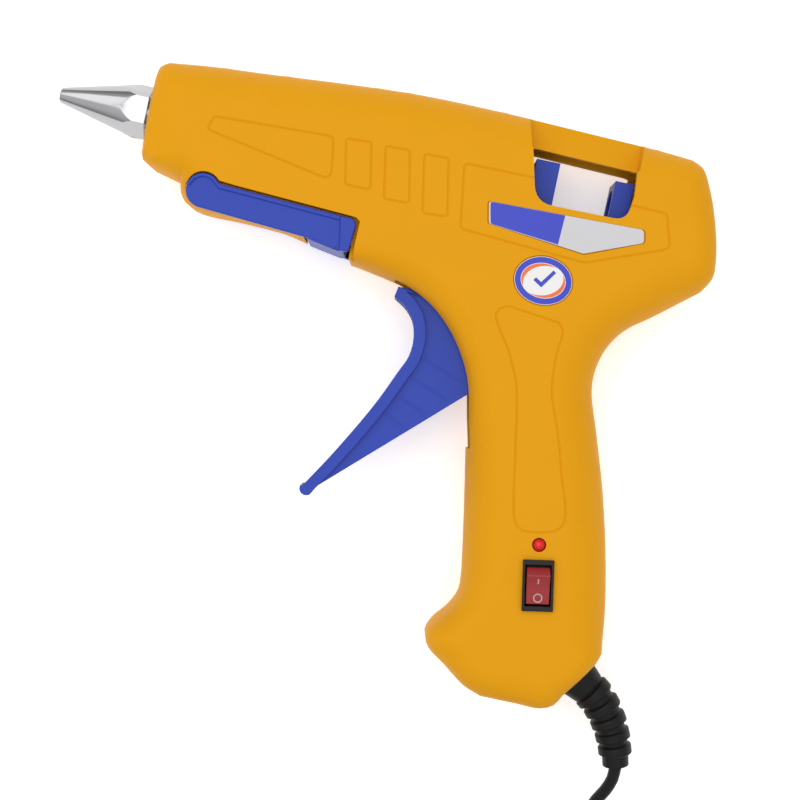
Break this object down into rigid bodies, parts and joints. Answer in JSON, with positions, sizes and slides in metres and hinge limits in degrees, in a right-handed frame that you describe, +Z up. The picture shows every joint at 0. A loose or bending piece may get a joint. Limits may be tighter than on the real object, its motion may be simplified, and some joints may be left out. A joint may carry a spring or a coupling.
{
  "type": "glue gun",
  "caption": "Hot-melt glue gun with a pistol grip, trigger, cone nozzle, fold-down front stand, side window, rocker switch and mains lead; pulling the trigger feeds a glue stick.",
  "frame": {"origin": "centre of the gun's own footprint as it lies on its right side, at the height of the surface it lies on, cord left out", "axes": "+X towards the back of the gun, +Y towards its top, +Z up from the surface, out of the gun's left side"},
  "size_m": [0.1972, 0.2993, 0.039],
  "materials": {
    "yellow_plastic": "moulded, fine spark texture",
    "blue_plastic": "moulded, satin",
    "black_plastic": "satin",
    "black_rubber": "soft satin",
    "nozzle_metal": "turned",
    "steel": "plain",
    "brass": "plain",
    "red_wire": "insulated wire",
    "nickel": "nickel plated",
    "red_silicone": "matte silicone",
    "ceramic": "matte",
    "red_lens": "clear tinted lens",
    "red_rocker": "gloss",
    "side_label": "printed foil label",
    "sticker": "printed round label"
  },
  "bodies": {
    "housing": {"left_shell": "yellow_plastic", "right_shell": "yellow_plastic", "switch_body": "black_plastic", "cord_clamp": "black_plastic", "cord_tie": "black_plastic", "plug_body": "black_plastic", "wire_live": "black_plastic", "wire_neutral": "black_plastic", "strain_relief": "black_rubber", "mains_cord": "black_rubber", "mains_cord_coil": "black_rubber", "plug_lead": "black_rubber", "inner_cord": "black_rubber", "nozzle": "nozzle_metal", "melt_chamber": "nozzle_metal", "chamber_collar": "steel", "heater_clip": "steel", "sleeve_clamp": "steel", "trigger_pin": "steel", "clamp_screw_1": "steel", "clamp_screw_2": "steel", "shell_screw_1": "steel", "shell_screw_2": "steel", "shell_screw_3": "steel", "shell_screw_4": "steel", "shell_screw_5": "steel", "shell_screw_6": "steel", "shell_screw_7": "steel", "contact_plate_1": "brass", "contact_plate_2": "brass", "switch_terminal_1": "brass", "switch_terminal_2": "brass", "wire_switched": "red_wire", "plug_pin_1": "nickel", "plug_pin_2": "nickel", "stick_sleeve": "red_silicone", "ptc_heater": "ceramic", "lamp_resistor": "ceramic", "indicator_lamp": "red_lens", "side_label": "side_label", "oval_sticker": "sticker"},
    "trigger": {"trigger": "blue_plastic", "drive_pin": "steel", "trigger_spring": "steel"},
    "carriage": {"carriage": "blue_plastic"},
    "grip": {"grip_plate": "steel"},
    "stand": {"stand": "blue_plastic"},
    "rocker": {"switch_rocker": "red_rocker"}
  },
  "joints": [
    {"name": "trigger_pull", "type": "hinge", "parent": "housing", "child": "trigger", "pos_m": [0.01365, 0.03075, 0.018], "axis": [0, 0, 1], "range_deg": [0, 26], "stiffness_Nm_per_rad": 0.12, "springref_deg": -11.46},
    {"name": "carriage_slide", "type": "slide", "parent": "housing", "child": "carriage", "axis": [-0.9781, 0.2079, 0], "range_m": [0, 0.0098]},
    {"name": "grip_tip", "type": "hinge", "parent": "carriage", "child": "grip", "pos_m": [0.03853, 0.05187, 0.018], "axis": [0, 0, 1], "range_deg": [0, 5]},
    {"name": "stand_swing", "type": "hinge", "parent": "housing", "child": "stand", "pos_m": [-0.0545, 0.05765, 0.018], "axis": [0, 0, 1], "range_deg": [-90, 0]},
    {"name": "rocker_tip", "type": "hinge", "parent": "housing", "child": "rocker", "pos_m": [0.0439, -0.0585, 0.0352], "axis": [-0.9995, 0.0314, 0], "range_deg": [0, 20]}
  ],
  "couplings": [
    {"joint": "carriage_slide", "follows": "trigger_pull", "m_per_rad": 0.021514},
    {"joint": "grip_tip", "follows": "trigger_pull", "ratio": 0.19}
  ]
}
